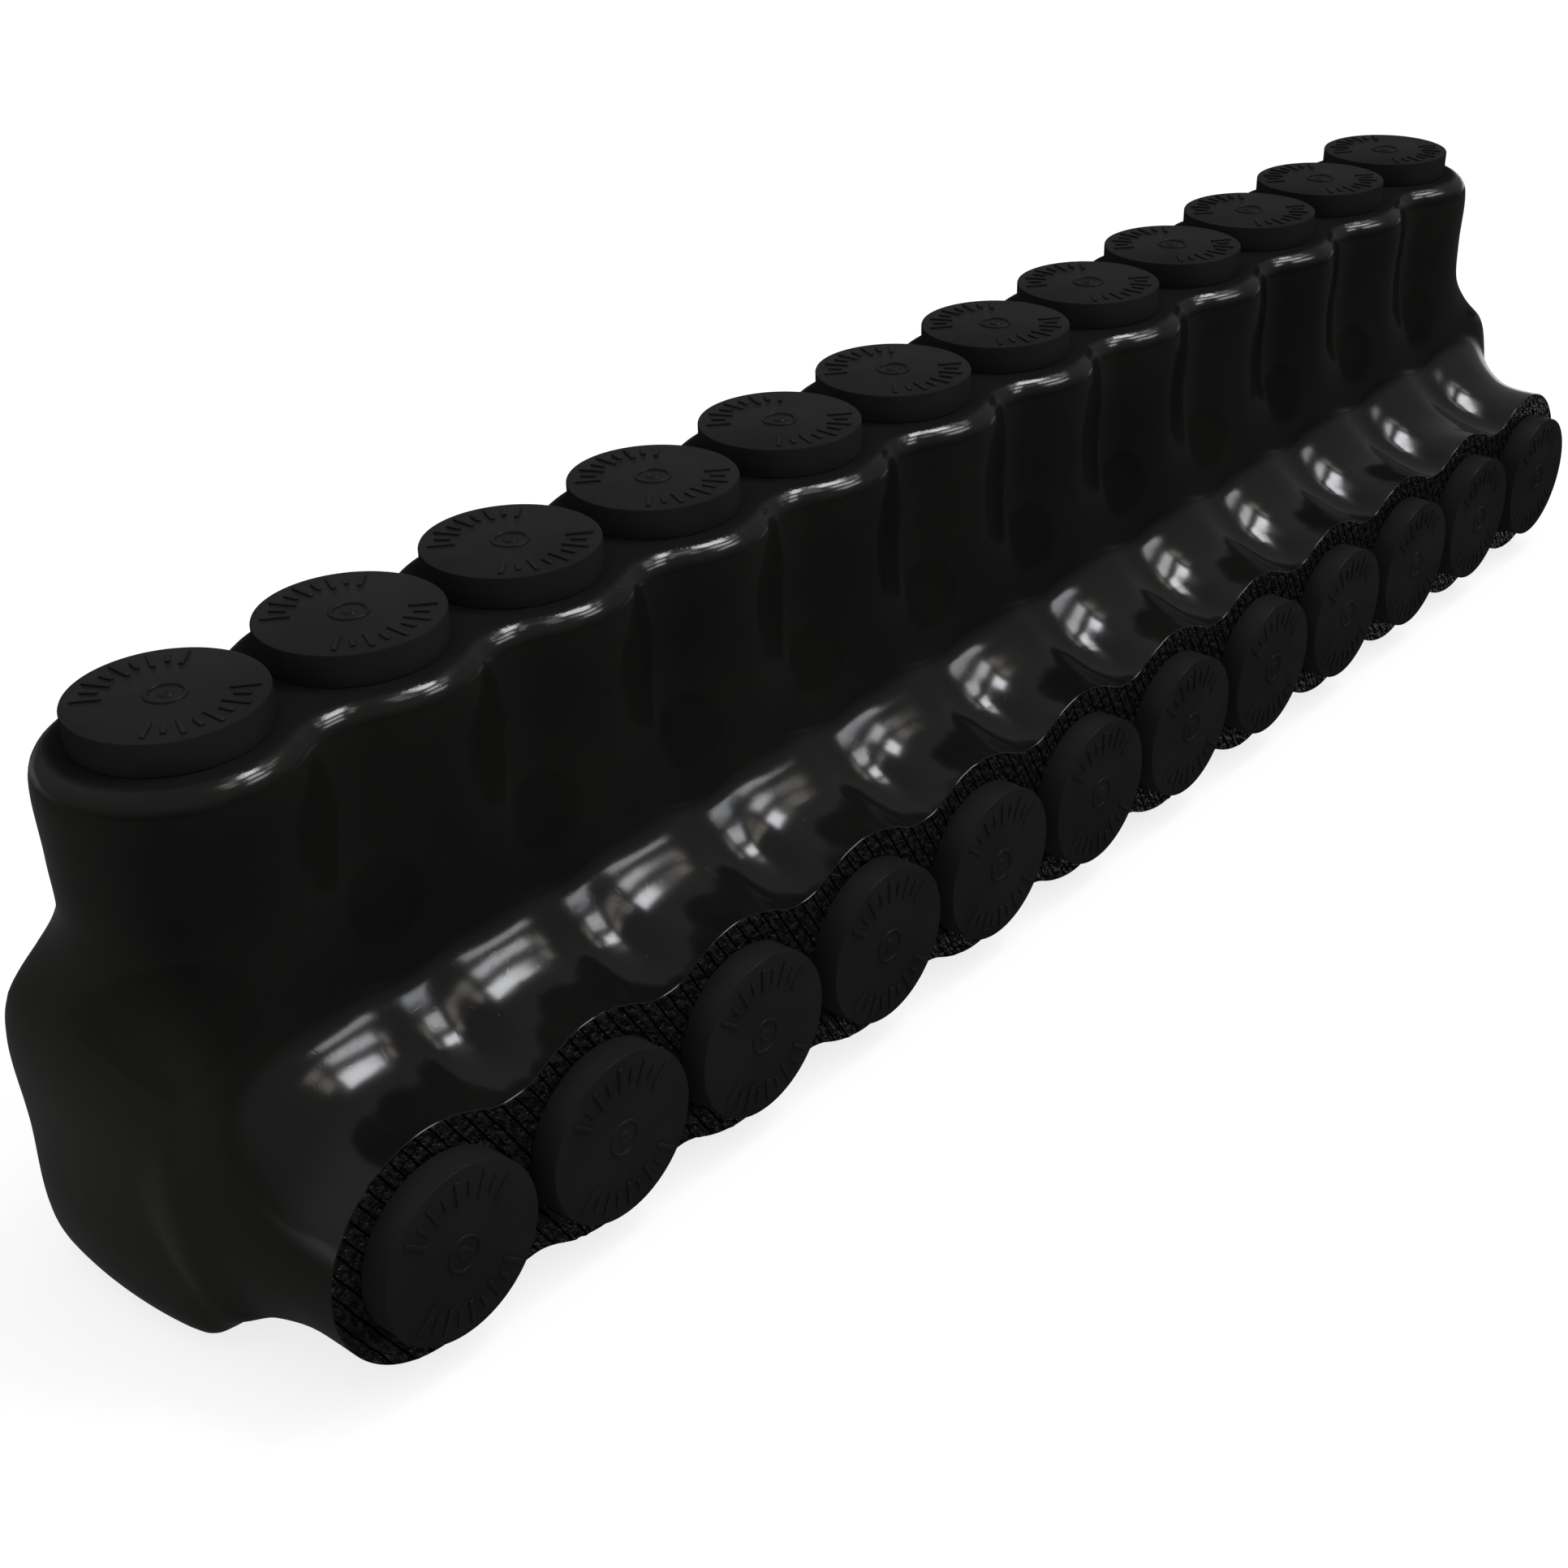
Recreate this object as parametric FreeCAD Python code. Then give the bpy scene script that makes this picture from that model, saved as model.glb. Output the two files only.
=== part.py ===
"""Insulated multi-tap wire connector: a drilled bar in a moulded coat, set screws and push-in caps.

Millimetres. X runs along the row of taps, +Z is up and the wire ports face -Y.
The origin is on the base, at mid length, under the line of the screw axes.
"""
import FreeCAD, Part
import math
import os

# Row of taps
taps = 12
pitch = 14.2875

# Chimney bank: one lobe round each screw axis
chimney_radius = 8.83
chimney_valley = 1.93
chimney_top = 38.87
rim_round = 1.9

# Sleeve bank: one lobe round each wire port
port_height = 9.0
sleeve_radius = 8.62
sleeve_valley = 1.93
sleeve_face = 19.55

# Block round the bar, and the blends that run into it
block_end = 11.9
block_half_depth = 9.9
block_corner = 4.4
base_round = 3.7
shoulder_bottom = 19.5
shoulder_rise = 8.6
front_lift = 1.8
throat_radius = 8.3
throat_turn = 78.0
throat_sink = 0.7
throat_valley = 1.0
root_inset = 0.3
root_corner = 7.0
root_run = 5.7
lobe_share = 0.62
corner_inset = 0.9

# Conductor bar
coat_wall = 2.4
bar_top = 20.2
bar_edge = 0.8
wire_bore_radius = 3.55
wire_bore_depth = 10.9
drill_point = 118.0

# Set screws, drawn at their major diameter and backed clear of the wire bore
screw_radius = 3.15
thread_clearance = 0.05
screw_length = 9.5
screw_backing = 0.3
point_radius = 2.0
point_height = 1.15
hex_across = 3.2
hex_depth = 4.0

# Push-in caps, the same on the chimneys and on the ports
access_radius = 5.2
cap_clearance = 0.1
cap_radius = 6.35
cap_height = 2.3
ring_radius = 1.25
ring_width = 0.3
ring_rise = 0.15
skirt_length = 5.0
skirt_wall = 1.2

half_span = (taps - 1) * pitch / 2
tap_places = [tap * pitch - half_span for tap in range(taps)]

Z_AXIS = FreeCAD.Vector(0, 0, 1)
OUT_OF_PORT = FreeCAD.Vector(0, -1, 0)


def mix(start, stop, share):
    """A value part of the way from start to stop."""
    return start + (stop - start) * share


def ease(share):
    """A smooth S-curve from 0 to 1."""
    share = min(max(share, 0.0), 1.0)
    return share * share * (3 - 2 * share)


def arc_steps(radius, degrees):
    """(run, rise) of a round at each of the given angles from its start."""
    steps = []
    for angle in degrees:
        turn = math.radians(angle)
        steps.append((radius * math.sin(turn), radius * (1 - math.cos(turn))))
    return steps


def spline(place, points, directions):
    """A curve through points of a section, with a direction and speed at each."""
    origin = place(0, 0)
    curve = Part.BSplineCurve()
    curve.interpolate(
        Points=[place(u, v) for u, v in points],
        Tangents=[place(u, v) - origin for u, v in directions],
        TangentFlags=[True] * len(points),
        Parameters=[float(step) for step in range(len(points))],
        Scale=False,
    )
    return curve


def valley_curve(place, start, heading, crest, side, depth):
    """Outline from one lobe's crest over the valley to the next lobe's crest."""
    half = pitch / 2
    slope = math.tan(2 * math.atan2(depth, half))
    stations = [
        (0, 0, 0),
        (lobe_share * half, lobe_share * depth, slope),
        (half, depth, 0),
        (pitch - lobe_share * half, lobe_share * depth, -slope),
        (pitch, 0, 0),
    ]
    points = []
    directions = []
    for run, fall, steep in stations:
        points.append((start + heading * run, crest - side * fall))
        directions.append((heading * pitch / 4, -side * steep * pitch / 4))
    return spline(place, points, directions)


def end_curve(place, side, start, stop, overhang, corner):
    """Outline round one end, from the crest line at start to the one at stop."""
    middle = (start + stop) / 2
    sense = math.copysign(1, middle - start)
    cut = corner * (1 - math.cos(math.pi / 4))
    base = side * half_span
    points = [
        (base, start),
        (base + side * (overhang - cut), start + sense * cut),
        (base + side * overhang, middle),
        (base + side * (overhang - cut), stop - sense * cut),
        (base, stop),
    ]
    arc = 4 * math.tan(math.pi / 16) * corner
    along = overhang - corner + arc
    across = abs(middle - start) - corner + arc
    directions = []
    for step, speed in enumerate((along, arc, across, arc, along)):
        turn = math.pi / 4 * step
        directions.append((side * speed * math.cos(turn), sense * speed * math.sin(turn)))
    return spline(place, points, directions)


def bank_section(place, low, high, low_valley, high_valley, overhang, corner):
    """One closed section of a bank: scalloped on both long sides, rounded at both ends."""
    curves = []
    for start in tap_places[:-1]:
        curves.append(valley_curve(place, start, 1, high, 1, high_valley))
    curves.append(end_curve(place, 1, high, low, overhang, corner))
    for start in reversed(tap_places[1:]):
        curves.append(valley_curve(place, start, -1, low, -1, low_valley))
    curves.append(end_curve(place, -1, low, high, overhang, corner))
    return curves


def skin_panel(curves, stations):
    """A smooth face through one matching curve of every section."""
    rows = []
    for poles in zip(*[curve.getPoles() for curve in curves]):
        rail = Part.BSplineCurve()
        rail.interpolate(Points=list(poles), Parameters=stations)
        rows.append(rail.getPoles())
    first = curves[0]
    panel = Part.BSplineSurface()
    panel.buildFromPolesMultsKnots(
        rows,
        first.getMultiplicities(),
        rail.getMultiplicities(),
        first.getKnots(),
        rail.getKnots(),
        False,
        False,
        first.Degree,
        rail.Degree,
    )
    return panel.toShape()


def skin(sections):
    """A closed solid through a row of sections, with flat ends."""
    stations = [0.0]
    for before, after in zip(sections, sections[1:]):
        steps = [new.StartPoint.distanceToPoint(old.StartPoint) for old, new in zip(before, after)]
        stations.append(stations[-1] + max(steps))
    panels = [skin_panel(curves, stations) for curves in zip(*sections)]
    for end in (sections[0], sections[-1]):
        panels.append(Part.Face(Part.Wire([curve.toShape() for curve in end])))
    shell = Part.Compound(panels)
    shell.sewShape()
    body = Part.Solid(shell.Shells[0])
    body.fix(0, 0, 0)
    return body


def plan_section(height, inset):
    """The coat's outline in plan: chimney lobes above, a rounded block below the shoulder."""
    share = 1 - ease((height - shoulder_bottom) / shoulder_rise)
    front_share = 1 - ease((height - shoulder_bottom - front_lift) / shoulder_rise)
    overhang = mix(chimney_radius, block_end, share) - inset
    corner = mix(chimney_radius, block_corner, share) - inset * corner_inset
    return bank_section(
        lambda u, v: FreeCAD.Vector(u, v, height),
        inset - mix(chimney_radius, block_half_depth, front_share),
        mix(chimney_radius, block_half_depth, share) - inset,
        chimney_valley * (1 - front_share),
        chimney_valley * (1 - share),
        overhang,
        corner,
    )


def upright_body():
    """Block, shoulder and chimney bank as one loft, with the base and rim rounded."""
    rounding = (0, 30, 60, 87)
    sections = []
    for run, rise in reversed(arc_steps(base_round, rounding)):
        sections.append(plan_section(base_round - run, rise))
    sections.append(plan_section(mix(base_round, shoulder_bottom, 0.5), 0))
    shoulder_top = shoulder_bottom + shoulder_rise + front_lift
    for step in range(6):
        sections.append(plan_section(mix(shoulder_bottom, shoulder_top, step / 5), 0))
    sections.append(plan_section(mix(shoulder_top, chimney_top - rim_round, 0.5), 0))
    for run, rise in arc_steps(rim_round, rounding):
        sections.append(plan_section(chimney_top - rim_round + run, rise))
    return skin(sections)


def front_section(depth, share):
    """The sleeve bank's outline seen from the front: lobes at 0, the block's root at 1."""
    low = port_height - sleeve_radius
    high = port_height + sleeve_radius
    return bank_section(
        lambda u, v: FreeCAD.Vector(u, depth, v),
        mix(low, low + root_inset, share),
        mix(high, high + throat_radius * (1 - math.cos(math.radians(throat_turn))), share),
        sleeve_valley * (1 - share),
        mix(sleeve_valley, throat_valley, share),
        mix(sleeve_radius, block_end - root_inset, share),
        mix(sleeve_radius, root_corner, share),
    )


def sleeve_body():
    """Sleeve bank as a loft that flares in a hollow curve where it runs into the block."""
    steps = arc_steps(throat_radius, [throat_turn * part / 4 for part in range(5)])
    full_run, full_rise = steps[-1]
    throat_end = throat_sink - block_half_depth
    throat_start = throat_end - full_run
    sections = [front_section(-sleeve_face, 0)]
    sections.append(front_section(mix(-sleeve_face, throat_start, 0.5), 0))
    for run, rise in steps:
        sections.append(front_section(throat_start + run, rise / full_rise))
    for share in (0.4, 1.0):
        sections.append(front_section(throat_end + root_run * share, 1))
    return skin(sections)


def bar_blank():
    """The bar before drilling, with its long edges broken; the coat is moulded round it."""
    length = 2 * (half_span + block_end - coat_wall)
    depth = 2 * (block_half_depth - coat_wall)
    corner = FreeCAD.Vector(-length / 2, -depth / 2, coat_wall)
    blank = Part.makeBox(length, depth, bar_top - coat_wall, corner)
    long_edges = [edge for edge in blank.Edges if edge.BoundBox.XLength > length / 2]
    return blank.makeFillet(bar_edge, long_edges)


def wire_bore(place):
    """A blind drilled hole with its conical point."""
    mouth = block_half_depth - coat_wall
    inner = FreeCAD.Vector(place, wire_bore_depth - mouth, port_height)
    straight = Part.makeCylinder(wire_bore_radius, wire_bore_depth, inner, OUT_OF_PORT)
    point_depth = wire_bore_radius / math.tan(math.radians(drill_point / 2))
    point = Part.makeCone(wire_bore_radius, 0, point_depth, inner, -OUT_OF_PORT)
    return straight.fuse(point)


def screw_bore(place):
    """The tapped hole from the top of the bar down into the wire bore."""
    foot = FreeCAD.Vector(place, 0, port_height)
    return Part.makeCylinder(screw_radius + thread_clearance, bar_top - port_height, foot, Z_AXIS)


def access_bores(place):
    """The round ways through the coat to one screw and to one wire bore."""
    screw_foot = FreeCAD.Vector(place, 0, bar_top)
    down = Part.makeCylinder(access_radius, chimney_top - bar_top, screw_foot, Z_AXIS)
    bar_front = block_half_depth - coat_wall
    port_foot = FreeCAD.Vector(place, -bar_front, port_height)
    out = Part.makeCylinder(access_radius, sleeve_face - bar_front, port_foot, OUT_OF_PORT)
    return [down, out]


def insulating_housing():
    """The moulded coat: block, chimneys and sleeves in one skin, hollow for the bar."""
    skin = upright_body().fuse(sleeve_body())
    hollows = [bar_blank()]
    for place in tap_places:
        hollows.extend(access_bores(place))
    return skin.cut(hollows).Solids[0]


def connector_bar():
    """The drilled conductor bar."""
    holes = []
    for place in tap_places:
        holes.append(wire_bore(place))
        holes.append(screw_bore(place))
    return bar_blank().cut(holes).Solids[0]


def turned(outline):
    """A solid turned about Z from (radius, height) points."""
    corners = [FreeCAD.Vector(radius, 0, height) for radius, height in outline]
    profile = Part.makePolygon(corners + corners[:1])
    return Part.Face(profile).revolve(FreeCAD.Vector(), Z_AXIS, 360)


def set_screw():
    """A socket set screw, tip at the origin: a coned point and a hex socket."""
    screw = turned(
        [
            (0, 0),
            (point_radius, 0),
            (screw_radius, point_height),
            (screw_radius, screw_length),
            (0, screw_length),
        ]
    )
    corner_radius = hex_across / 2 / math.cos(math.pi / 6)
    corners = []
    for side in range(6):
        turn = math.pi / 3 * side
        corners.append(FreeCAD.Vector(math.cos(turn), math.sin(turn), 0) * corner_radius)
    floor = FreeCAD.Vector(0, 0, screw_length - hex_depth)
    outline = Part.makePolygon([corner + floor for corner in corners + corners[:1]])
    return screw.cut(Part.Face(outline).extrude(Z_AXIS * hex_depth)).Solids[0]


def push_in_cap():
    """A cap on its seat at the origin: a flange with a raised gate ring, a hollow skirt below."""
    skirt_radius = access_radius - cap_clearance
    hollow = skirt_radius - skirt_wall
    ring_top = cap_height + ring_rise
    return turned(
        [
            (0, 0),
            (hollow, 0),
            (hollow, -skirt_length),
            (skirt_radius, -skirt_length),
            (skirt_radius, 0),
            (cap_radius, 0),
            (cap_radius, cap_height),
            (ring_radius + ring_width, cap_height),
            (ring_radius + ring_width, ring_top),
            (ring_radius, ring_top),
            (ring_radius, cap_height),
            (0, cap_height),
        ]
    )


def placed(shape, position, turn=FreeCAD.Rotation()):
    """A copy of a shape, turned and then moved."""
    copy = shape.copy()
    copy.Placement = FreeCAD.Placement(position, turn)
    return copy


def all_parts():
    """Every piece by its name."""
    parts = {"insulating_housing": insulating_housing(), "connector_bar": connector_bar()}
    screw = set_screw()
    cap = push_in_cap()
    tip = port_height + wire_bore_radius + screw_backing
    to_port = FreeCAD.Rotation(Z_AXIS, OUT_OF_PORT)
    for tap, place in enumerate(tap_places, start=1):
        parts[f"set_screw_{tap:02d}"] = placed(screw, FreeCAD.Vector(place, 0, tip))
        parts[f"screw_cap_{tap:02d}"] = placed(cap, FreeCAD.Vector(place, 0, chimney_top))
        seat = FreeCAD.Vector(place, -sleeve_face, port_height)
        parts[f"port_cap_{tap:02d}"] = placed(cap, seat, to_port)
    return parts


os.makedirs("parts", exist_ok=True)
for name, shape in all_parts().items():
    shape.exportStep(f"parts/{name}.step")
    print(name, shape.ShapeType, shape.isValid(), round(shape.Volume, 2))
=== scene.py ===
"""Looks of the insulated multi-tap connector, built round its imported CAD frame.

Metres, in the frame of the CAD part: X along the row of taps, +Z up, ports facing -Y.
"""
import logging
import math
from contextlib import contextmanager
from dataclasses import dataclass
from enum import Enum
from typing import Callable, Iterator

import bpy
from mathutils import Matrix, Vector


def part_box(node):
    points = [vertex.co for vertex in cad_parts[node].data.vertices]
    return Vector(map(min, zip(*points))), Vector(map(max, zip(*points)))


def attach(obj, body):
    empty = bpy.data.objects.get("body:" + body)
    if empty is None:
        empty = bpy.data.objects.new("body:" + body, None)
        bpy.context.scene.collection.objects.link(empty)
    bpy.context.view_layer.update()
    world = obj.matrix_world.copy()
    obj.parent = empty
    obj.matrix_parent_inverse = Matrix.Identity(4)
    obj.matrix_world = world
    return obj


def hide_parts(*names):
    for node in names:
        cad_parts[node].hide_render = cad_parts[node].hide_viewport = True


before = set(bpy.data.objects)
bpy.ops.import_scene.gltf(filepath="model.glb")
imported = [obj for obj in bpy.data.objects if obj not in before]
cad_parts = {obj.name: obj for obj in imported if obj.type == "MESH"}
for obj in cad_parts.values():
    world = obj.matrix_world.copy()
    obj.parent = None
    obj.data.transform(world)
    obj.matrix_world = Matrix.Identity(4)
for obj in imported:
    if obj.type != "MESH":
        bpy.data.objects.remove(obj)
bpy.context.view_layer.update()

MM = 0.001
IMAGE_SIDE = 1932
MAIN_BODY = "connector"
POLE = 0.02 * MM

log = logging.getLogger("connector")

Socket = bpy.types.NodeSocket
Piece = bpy.types.Object
Span = tuple[float, float]
Place = tuple[float, float, float]
Colour = tuple[float, float, float]
Profile = list[Span]
Tint = Socket | Colour


class Slot(Enum):
    """Material slots of the record."""

    COAT = "coat"
    CAP = "cap"
    BAR = "bar"
    SCREW = "screw"


class Facing(Enum):
    """Which way a cap points when it is seated, as a turn about X in degrees."""

    UP = 0.0
    FRONT = 90.0


class Bench:
    """Hand tools: selection, edit mode, primitives and modifiers, all through operators."""

    @staticmethod
    def clear() -> None:
        """Deselects every object."""
        bpy.ops.object.select_all(action="DESELECT")

    @staticmethod
    def take(piece: Piece) -> Piece:
        """Makes a piece the only selected one, and the active one.

        Args:
            piece: The piece to take.

        Returns:
            The same piece.
        """
        Bench.clear()
        piece.select_set(True)
        bpy.context.view_layer.objects.active = piece
        return piece

    @staticmethod
    @contextmanager
    def editing(piece: Piece) -> Iterator[None]:
        """Edit mode on one piece, with nothing selected at the start.

        Args:
            piece: The object to edit.
        """
        Bench.take(piece)
        bpy.ops.object.mode_set(mode="EDIT")
        bpy.ops.mesh.select_mode(type="VERT")
        bpy.ops.mesh.select_all(action="DESELECT")
        yield
        bpy.ops.object.mode_set(mode="OBJECT")

    @staticmethod
    def pick_faces(piece: Piece, wanted: Callable[[Vector, Vector], bool]) -> None:
        """Selects faces by their place and normal; the piece is in edit mode.

        Args:
            piece: The object in edit mode.
            wanted: A test of a face's centre and normal.
        """
        bpy.ops.mesh.select_mode(type="FACE")
        bpy.ops.mesh.select_all(action="DESELECT")
        bpy.ops.object.mode_set(mode="OBJECT")
        for face in piece.data.polygons:
            face.select = wanted(face.center, face.normal)
        bpy.ops.object.mode_set(mode="EDIT")

    @staticmethod
    def apply(piece: Piece, kind: str, **settings: object) -> None:
        """Adds a modifier with its settings, and applies it.

        Args:
            piece: The object to modify.
            kind: The modifier's type.
            settings: The modifier's own properties.
        """
        Bench.take(piece)
        bpy.ops.object.modifier_add(type=kind)
        modifier = piece.modifiers[-1]
        for name, value in settings.items():
            setattr(modifier, name, value)
        bpy.ops.object.modifier_apply(modifier=modifier.name)

    @staticmethod
    def turned(name: str, profile: Profile, segments: int) -> Piece:
        """A ring of vertices drawn out along a profile, closed at both ends.

        Args:
            name: The new object's name.
            profile: (radius, height) of each ring, from one end to the other.
            segments: Corners round each ring.

        Returns:
            The closed round piece, about Z.
        """
        Bench.clear()
        radius, height = profile[0]
        bpy.ops.mesh.primitive_circle_add(
            vertices=segments, radius=radius, fill_type="NGON", location=(0, 0, height)
        )
        piece = bpy.context.object
        piece.name = name
        bpy.ops.object.transform_apply(location=True)
        with Bench.editing(piece):
            bpy.ops.mesh.select_all(action="SELECT")
            for wider, higher in profile[1:]:
                bpy.ops.mesh.extrude_region_move(
                    TRANSFORM_OT_translate={"value": (0, 0, higher - height)}
                )
                share = wider / radius
                bpy.ops.transform.resize(value=(share, share, 1))
                radius, height = wider, higher
            bpy.ops.mesh.select_all(action="SELECT")
            bpy.ops.mesh.normals_make_consistent(inside=False)
        return piece

    @staticmethod
    def drawn(name: str, points: list[Place]) -> Piece:
        """A line drawn from point to point.

        Args:
            name: The new object's name.
            points: The corners of the line.

        Returns:
            The open line.
        """
        Bench.clear()
        bpy.ops.mesh.primitive_plane_add(size=1)
        piece = bpy.context.object
        piece.name = name
        with Bench.editing(piece):
            bpy.ops.mesh.select_all(action="SELECT")
            bpy.ops.mesh.merge(type="CENTER")
            bpy.ops.transform.translate(value=points[0])
            for start, stop in zip(points, points[1:]):
                step = Vector(stop) - Vector(start)
                bpy.ops.mesh.extrude_vertices_move(TRANSFORM_OT_translate={"value": step})
        return piece

    @staticmethod
    def joined(pieces: list[Piece], name: str) -> Piece:
        """Joins pieces into the first one and names it.

        Args:
            pieces: The pieces to join.
            name: The joined piece's name.

        Returns:
            The joined piece.
        """
        Bench.take(pieces[0])
        for piece in pieces:
            piece.select_set(True)
        bpy.ops.object.join()
        pieces[0].name = name
        return pieces[0]

    @staticmethod
    def settle(piece: Piece) -> Piece:
        """Puts a piece's place into its mesh.

        Args:
            piece: The piece to settle.

        Returns:
            The same piece.
        """
        Bench.take(piece)
        bpy.ops.object.transform_apply(location=True, rotation=True, scale=True)
        return piece

    @staticmethod
    def combine(piece: Piece, other: Piece, operation: str) -> None:
        """Cuts one closed piece by another, which is used up.

        Args:
            piece: The piece that stays.
            other: The tool.
            operation: DIFFERENCE or INTERSECT.
        """
        Bench.apply(piece, "BOOLEAN", operation=operation, object=other, solver="EXACT")
        bpy.data.objects.remove(other)

    @staticmethod
    def smooth(piece: Piece, degrees: float) -> None:
        """Smooth shading up to an angle."""
        Bench.take(piece)
        bpy.ops.object.shade_smooth_by_angle(angle=math.radians(degrees))


class NodeSheet:
    """Lays nodes on one tree and wires them by name."""

    def __init__(self, tree: bpy.types.NodeTree) -> None:
        """Starts from an empty tree."""
        self.tree = tree
        tree.nodes.clear()

    def node(self, kind: str, inputs: dict | None = None, **settings: object) -> bpy.types.Node:
        """One node with its settings, values and links.

        Args:
            kind: The node type without its ShaderNode prefix.
            inputs: Socket name or number to a value, or to the socket that feeds it.
            settings: Properties of the node.

        Returns:
            The new node.
        """
        prefix = "" if kind.startswith("NodeGroup") else "ShaderNode"
        made = self.tree.nodes.new(prefix + kind)
        for name, value in settings.items():
            setattr(made, name, value)
        for name, value in (inputs or {}).items():
            if isinstance(value, Socket):
                self.tree.links.new(value, made.inputs[name])
            else:
                made.inputs[name].default_value = value
        return made

    def math(self, operation: str, *values: object, clamp: bool = False) -> Socket:
        """The result of one Math node."""
        inputs = dict(enumerate(values))
        return self.node("Math", inputs, operation=operation, use_clamp=clamp).outputs[0]

    def ramp(self, value: Socket, low: float, high: float, start: float, stop: float) -> Socket:
        """A value spread smoothly from one span to another."""
        inputs = {"Value": value, "From Min": low, "From Max": high, "To Min": start, "To Max": stop}
        return self.node("MapRange", inputs, interpolation_type="SMOOTHSTEP").outputs["Result"]

    def blend(self, share: Socket, first: Socket | float, second: Socket | float) -> Socket:
        """A value part of the way between two."""
        return self.node("Mix", {0: share, 2: first, 3: second}, data_type="FLOAT").outputs[0]

    def mix(self, share: Socket, first: Tint, second: Tint) -> Socket:
        """A colour part of the way between two, each a plain colour or a socket."""
        sides = [one if isinstance(one, Socket) else (*one, 1.0) for one in (first, second)]
        return self.node("Mix", {0: share, 6: sides[0], 7: sides[1]}, data_type="RGBA").outputs[2]


class Effects:
    """Effects that several finishes share, each one node group."""

    made: dict[str, bpy.types.NodeTree] = {}

    @classmethod
    def group(cls, name: str, inputs: dict[str, float], outputs: tuple[str, ...]) -> NodeSheet:
        """A new group with a Vector, its value inputs and its value outputs.

        Args:
            name: The group's name.
            inputs: Input name to its usual value.
            outputs: Names of the values that it puts out.

        Returns:
            The sheet to lay its nodes on.
        """
        tree = bpy.data.node_groups.new(name, "ShaderNodeTree")
        tree.interface.new_socket("Vector", in_out="INPUT", socket_type="NodeSocketVector")
        for label, value in inputs.items():
            socket = tree.interface.new_socket(label, in_out="INPUT", socket_type="NodeSocketFloat")
            socket.default_value = value
        for label in outputs:
            tree.interface.new_socket(label, in_out="OUTPUT", socket_type="NodeSocketFloat")
        cls.made[name] = tree
        return NodeSheet(tree)

    @classmethod
    def grain(cls) -> bpy.types.NodeTree:
        """Fine moulded grain: a height, and a slow tone that varies it.

        Returns:
            The node group, made on the first call.
        """
        if "Fine grain" in cls.made:
            return cls.made["Fine grain"]
        sheet = cls.group("Fine grain", {"Scale": 2500.0}, ("Height", "Tone"))
        given = sheet.node("NodeGroupInput")
        fine = sheet.node(
            "TexNoise",
            {"Vector": given.outputs["Vector"], "Scale": given.outputs["Scale"], "Detail": 3.0},
        )
        slow_scale = sheet.math("MULTIPLY", given.outputs["Scale"], 0.04)
        slow = sheet.node(
            "TexNoise", {"Vector": given.outputs["Vector"], "Scale": slow_scale, "Detail": 2.0}
        )
        sheet.node(
            "NodeGroupOutput",
            {"Height": fine.outputs["Fac"], "Tone": sheet.ramp(slow.outputs["Fac"], 0.3, 0.7, 0.0, 1.0)},
        )
        return cls.made["Fine grain"]

    @classmethod
    def hairlines(cls) -> bpy.types.NodeTree:
        """Sparse hair-thin creases and scuffs, as a mask.

        Returns:
            The node group, made on the first call.
        """
        if "Hairlines" in cls.made:
            return cls.made["Hairlines"]
        sheet = cls.group("Hairlines", {"Scale": 170.0, "Width": 0.02, "Cover": 0.5}, ("Mask",))
        given = sheet.node("NodeGroupInput")
        place = given.outputs["Vector"]
        warp = sheet.node("TexNoise", {"Vector": place, "Scale": 300.0, "Detail": 2.0})
        bent = sheet.node(
            "VectorMath",
            {0: warp.outputs["Color"], 1: (0.0015, 0.0015, 0.0015), 2: place},
            operation="MULTIPLY_ADD",
        )
        cells = sheet.node(
            "TexVoronoi",
            {"Vector": bent.outputs[0], "Scale": given.outputs["Scale"]},
            feature="DISTANCE_TO_EDGE",
        )
        line = sheet.math(
            "SUBTRACT",
            1.0,
            sheet.math("DIVIDE", cells.outputs["Distance"], given.outputs["Width"], clamp=True),
        )
        patch_scale = sheet.math("MULTIPLY", given.outputs["Scale"], 1.3)
        patch = sheet.node("TexNoise", {"Vector": place, "Scale": patch_scale, "Detail": 1.0})
        shown = sheet.math("GREATER_THAN", patch.outputs["Fac"], given.outputs["Cover"])
        sheet.node("NodeGroupOutput", {"Mask": sheet.math("MULTIPLY", line, shown)})
        return cls.made["Hairlines"]


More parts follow.
